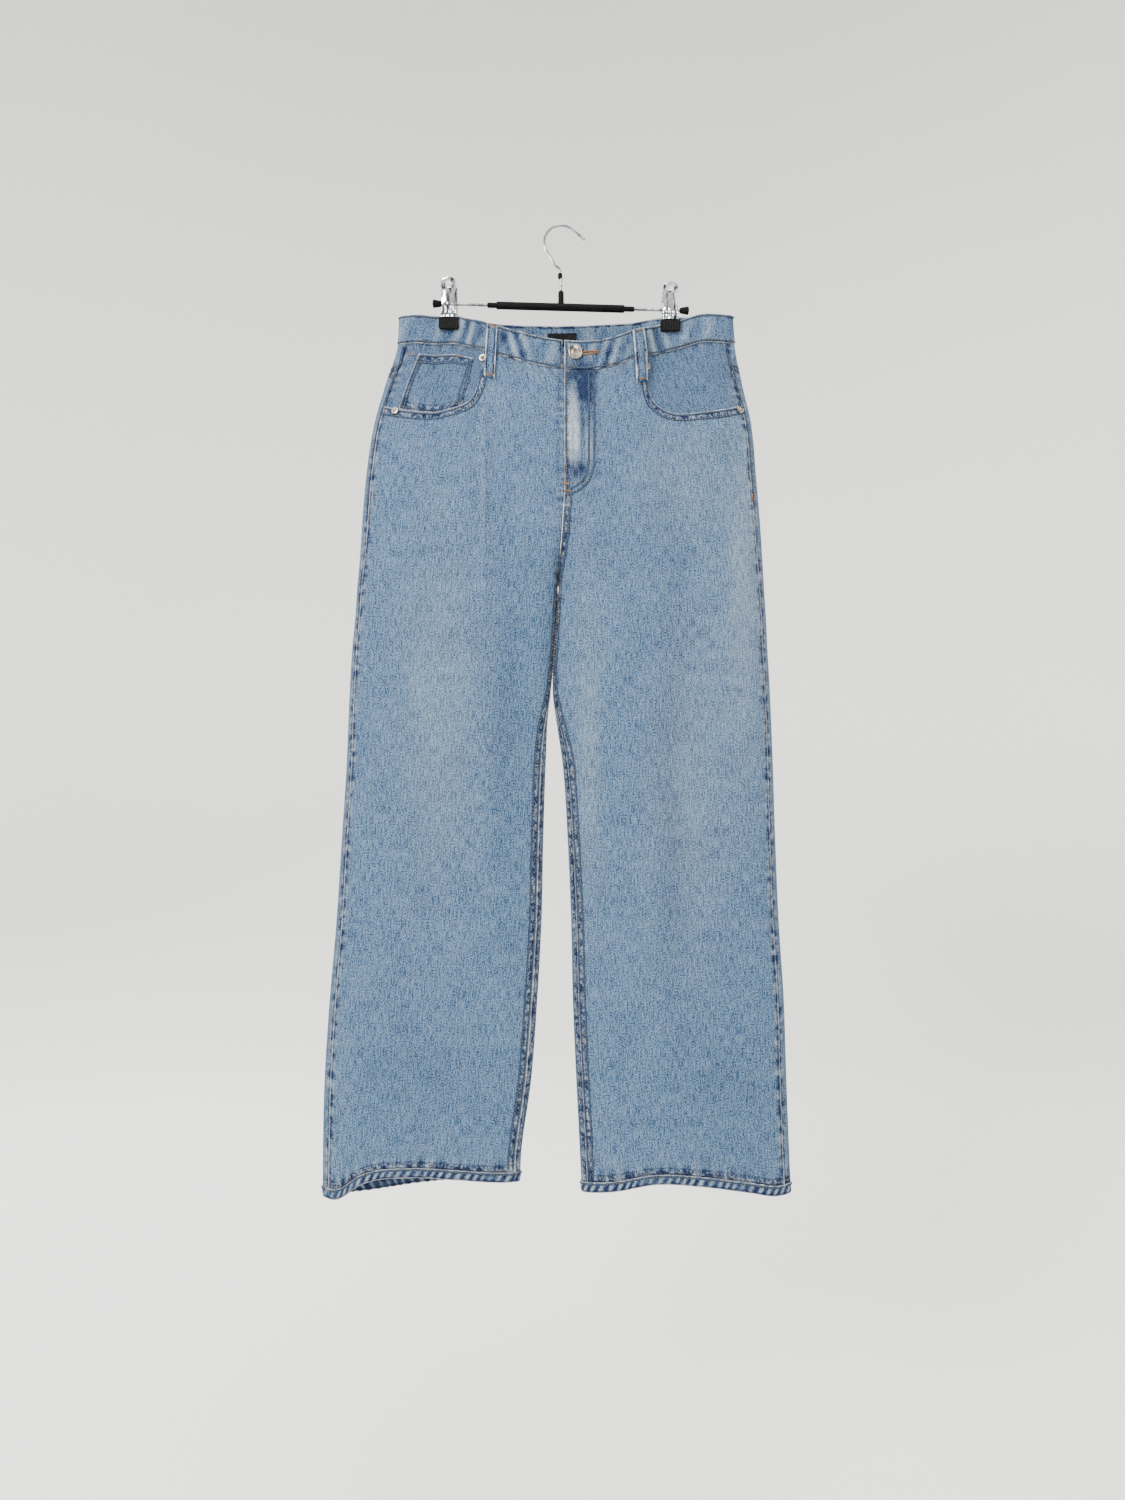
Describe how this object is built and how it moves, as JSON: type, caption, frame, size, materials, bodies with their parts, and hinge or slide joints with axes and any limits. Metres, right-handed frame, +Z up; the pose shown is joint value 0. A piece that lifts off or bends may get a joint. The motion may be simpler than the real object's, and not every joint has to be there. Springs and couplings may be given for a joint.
{
  "type": "jeans on a clip hanger",
  "caption": "Light blue wide-leg jeans hung flat by the waistband from a chrome and black clip hanger, with scooped front pockets, a fly with a button, and open hems.",
  "frame": {"origin": "top of the inside of the hanger's hook, where a peg or rod holds it", "axes": "+X to the right seen from the front, +Y to the back, +Z up"},
  "size_m": [0.543, 0.0595, 1.1278],
  "materials": {
    "denim": "stonewashed twill",
    "label_black": "plain woven",
    "zip_metal": "satin",
    "fittings": "satin",
    "chrome": "polished",
    "black_plastic": "matt",
    "black_rubber": "matt"
  },
  "bodies": {
    "root": {"waistband": "denim", "left_front_panel": "denim", "right_front_panel": "denim", "left_back_panel": "denim", "right_back_panel": "denim", "left_back_yoke": "denim", "right_back_yoke": "denim", "left_pocket_facing": "denim", "right_pocket_facing": "denim", "coin_pocket": "denim", "left_back_pocket": "denim", "right_back_pocket": "denim", "belt_loop_front_left": "denim", "belt_loop_front_right": "denim", "belt_loop_back_left": "denim", "belt_loop_back_right": "denim", "belt_loop_centre_back": "denim", "fly_shield": "denim", "left_hem": "denim", "right_hem": "denim", "label": "label_black", "zip": "zip_metal", "zip_slider": "zip_metal", "button": "fittings", "rivet_left_inner": "fittings", "rivet_left_side": "fittings", "rivet_right_inner": "fittings", "rivet_right_side": "fittings", "hanger_hook": "chrome", "left_arm": "chrome", "right_arm": "chrome", "left_clip_jaw_front": "chrome", "left_clip_jaw_back": "chrome", "right_clip_jaw_front": "chrome", "right_clip_jaw_back": "chrome", "left_clip_spring": "chrome", "right_clip_spring": "chrome", "hook_sleeve": "black_plastic", "hanger_stem": "black_plastic", "hanger_bar": "black_plastic", "left_socket": "black_plastic", "right_socket": "black_plastic", "left_end_cap": "black_plastic", "right_end_cap": "black_plastic", "left_clip_pad_front": "black_rubber", "left_clip_pad_back": "black_rubber", "right_clip_pad_front": "black_rubber", "right_clip_pad_back": "black_rubber"}
  },
  "joints": []
}
